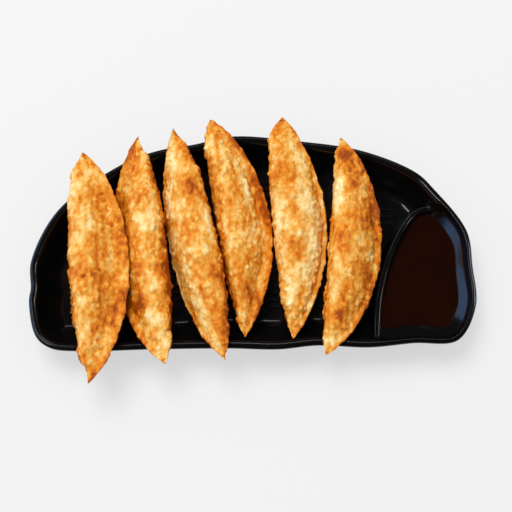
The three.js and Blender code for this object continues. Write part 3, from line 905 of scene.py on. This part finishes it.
def friedCrustTree():
    # raises blisters of two sizes along the normals, notes how raised each point is, and
    # scatters crumbs of crust
    tree, given = geometryTree("friedCrust", {
        "Bump Pitch": "NodeSocketFloat", "Bump Height": "NodeSocketFloat",
        "Pimple Pitch": "NodeSocketFloat", "Pimple Height": "NodeSocketFloat",
        "Crumb Density": "NodeSocketFloat", "Crumb Size": "NodeSocketFloat",
        "Seed": "NodeSocketInt", "Material": "NodeSocketMaterial"})

    def calculate(operation, *values):
        node = addNode(tree, "ShaderNodeMath", dict(enumerate(values)), operation=operation)
        return node.outputs[0]

    def vectorBy(operation, inputs):
        return addNode(tree, "ShaderNodeVectorMath", inputs, operation=operation).outputs["Vector"]

    place = addNode(tree, "GeometryNodeInputPosition").outputs["Position"]
    normal = addNode(tree, "GeometryNodeInputNormal").outputs["Normal"]
    rough = addNode(tree, "GeometryNodeInputNamedAttribute", {"Name": "rough"},
                    data_type="FLOAT").outputs["Attribute"]
    sway = addNode(tree, "ShaderNodeTexNoise", {
        "Vector": place, "Scale": 1 / (crust["swayPitch"] * mm), "Detail": 1.0})
    swayed = vectorBy("SCALE", {0: sway.outputs["Color"], "Scale": crust["sway"] * mm})
    warped = vectorBy("ADD", {0: place, 1: swayed})

    def domes(pitch):
        cells = addNode(tree, "ShaderNodeTexVoronoi", {
            "Vector": warped, "Scale": calculate("DIVIDE", 1.0, pitch)})
        share = calculate("DIVIDE", cells.outputs["Distance"], crust["blisterWidth"])
        fall = calculate("MULTIPLY", share, share)
        dome = calculate("MAXIMUM", calculate("SUBTRACT", 1.0, fall), 0.0)
        chance = addNode(tree, "ShaderNodeSeparateXYZ", {"Vector": cells.outputs["Color"]})
        least = crust["leastBlister"]
        size = calculate("MULTIPLY_ADD", chance.outputs["X"], 1 - least, least)
        return calculate("MULTIPLY", dome, size)

    bumps, pimples = domes(given["Bump Pitch"]), domes(given["Pimple Pitch"])
    height = calculate("MULTIPLY_ADD", bumps, given["Bump Height"],
                       calculate("MULTIPLY", pimples, given["Pimple Height"]))
    middling = calculate("MULTIPLY", given["Bump Height"], 0.5)
    height = calculate("MULTIPLY", calculate("SUBTRACT", height, middling), rough)
    offset = vectorBy("SCALE", {0: normal, "Scale": height})
    raised = addNode(tree, "GeometryNodeSetPosition", {
        "Geometry": given["Geometry"], "Offset": offset})
    # 0.6 and 0.5 are how much the middling and the small blisters count in the colour, which is
    # paler on raised blisters and darker in their hollows, partly as painted light and shade
    relief = calculate("MULTIPLY_ADD", bumps, 0.6, calculate("MULTIPLY", pimples, 0.5))
    noted = addNode(tree, "GeometryNodeStoreNamedAttribute", {
        "Geometry": raised.outputs["Geometry"], "Name": "blister", "Value": relief},
        data_type="FLOAT", domain="POINT")

    density = calculate("MULTIPLY", given["Crumb Density"], rough)
    spots = addNode(tree, "GeometryNodeDistributePointsOnFaces", {
        "Mesh": noted.outputs["Geometry"], "Density": density, "Seed": given["Seed"]})
    size = addNode(tree, "FunctionNodeRandomValue", {
        "Min": (0.4, 0.4, 0.25), "Max": (1.0, 1.0, 0.5), "Seed": given["Seed"]},
        data_type="FLOAT_VECTOR").outputs["Value"]
    size = vectorBy("SCALE", {0: size, "Scale": given["Crumb Size"]})
    grain = addNode(tree, "GeometryNodeMeshIcoSphere", {"Radius": 1.0, "Subdivisions": 2})
    crumbs = addNode(tree, "GeometryNodeInstanceOnPoints", {
        "Points": spots.outputs["Points"], "Instance": grain.outputs["Mesh"],
        "Rotation": spots.outputs["Rotation"], "Scale": size})
    both = addNode(tree, "GeometryNodeJoinGeometry")
    tree.links.new(crumbs.outputs["Instances"], both.inputs["Geometry"])
    tree.links.new(noted.outputs["Geometry"], both.inputs["Geometry"])
    endTree(tree, both.outputs["Geometry"], given["Material"])
    return tree


crustTree = friedCrustTree()
for number, dumpling in enumerate(dumplings, 1):
    piece = makeDumpling(f"friedDumpling{number}", dumpling)
    bakeNodes(piece, crustTree, {
        "Bump Pitch": crust["bumpPitch"] * mm, "Bump Height": crust["bumpHeight"] * mm,
        "Pimple Pitch": crust["pimplePitch"] * mm, "Pimple Height": crust["pimpleHeight"] * mm,
        "Crumb Density": crust["crumbDensity"], "Crumb Size": crust["crumbSize"] * mm,
        "Seed": dumpling["seed"], "Material": dough})
    settle(piece, "fried_crust", f"dumpling_{number}")
    print(f"dumpling {number} made, {len(piece.data.polygons)} faces")


# The studio: white paper on a table that is lit from below, soft light from all round and one
# large soft lamp at the back left. The black gloss shows only a window at the left and narrow
# strips at the back, the left and the right, as if the studio's walls were dark.

studio = dict(
    # azimuth and elevation say where a lamp's light comes from, matt whether it lights matt
    # surfaces and gloss whether the gloss shows it; lengths are in metres and powers in watts
    lamps=[
        dict(name="key", azimuth=122, elevation=61, distance=2.2, width=1.2, height=1.2,
             power=42, colour="#ffffff", matt=True, gloss=False),
        dict(name="backStrip", azimuth=97, elevation=52, distance=2.2, width=1.7, height=0.16,
             power=4.8, colour="#ffffff", matt=False, gloss=True),
        dict(name="leftStrip", azimuth=180, elevation=67, distance=2.2, width=0.9, height=0.2,
             power=7, colour="#ffffff", matt=False, gloss=True),
        dict(name="rightStrip", azimuth=14, elevation=40, distance=2.2, width=0.5, height=0.14,
             power=7, colour="#ffffff", matt=False, gloss=True),
        dict(name="window", azimuth=172, elevation=26, distance=0.8, width=1.1, height=0.36,
             power=2.9, colour="#94c0ff", matt=False, gloss=True),
    ],
    ambient=0.7,
    ambientInGloss=0.04,
    floor="#8c8c8c",
    floorSize=40,
    floorGlow=0.57,  # the paper lies on a lit table, which keeps its shadows light
)


def makeLamp(lamp):
    light = bpy.data.lights.new(lamp["name"], "AREA")
    light.shape = "RECTANGLE"
    light.size = lamp["width"]
    light.size_y = lamp["height"]
    light.energy = lamp["power"]
    light.color = linear(lamp["colour"])[:3]
    obj = addObject(lamp["name"], light)
    turn, rise = math.radians(lamp["azimuth"]), math.radians(lamp["elevation"])
    level = math.cos(rise)
    way = Vector((math.cos(turn) * level, math.sin(turn) * level, math.sin(rise)))
    obj.location = way * lamp["distance"]
    obj.rotation_euler = way.to_track_quat("Z", "Y").to_euler()
    obj.visible_diffuse = lamp["matt"]
    obj.visible_glossy = lamp["gloss"]


def makeSurroundings():
    # even light from all round, which the gloss hardly shows
    world = bpy.data.worlds.new("studio")
    world.use_nodes = True
    tree = world.node_tree
    tree.nodes.clear()
    bright = addNode(tree, "ShaderNodeMapRange", {
        "Value": addNode(tree, "ShaderNodeLightPath").outputs["Is Glossy Ray"],
        "To Min": studio["ambient"], "To Max": studio["ambientInGloss"]})
    sky = addNode(tree, "ShaderNodeBackground", {"Strength": bright.outputs["Result"]})
    addNode(tree, "ShaderNodeOutputWorld", {"Surface": sky.outputs["Background"]})
    bpy.context.scene.world = world


# Matt background paper.
def mattPaper():
    material, tree, shader = newMaterial("mattPaper")
    shader.inputs["Base Color"].default_value = linear(studio["floor"])
    shader.inputs["Roughness"].default_value = 0.9
    shader.inputs["Emission Color"].default_value = (1, 1, 1, 1)
    shader.inputs["Emission Strength"].default_value = studio["floorGlow"]
    return material


def makeFloor():
    mesh = bpy.data.meshes.new("floor")
    half = studio["floorSize"] / 2
    corners = [(-half, -half, 0), (half, -half, 0), (half, half, 0), (-half, half, 0)]
    mesh.from_pydata(corners, [], [(0, 1, 2, 3)])
    mesh.materials.append(mattPaper())
    return addObject("floor", mesh)


for lamp in studio["lamps"]:
    makeLamp(lamp)
makeSurroundings()
floor = makeFloor()
bpy.context.scene.view_settings.view_transform = "Standard"
print("studio made")
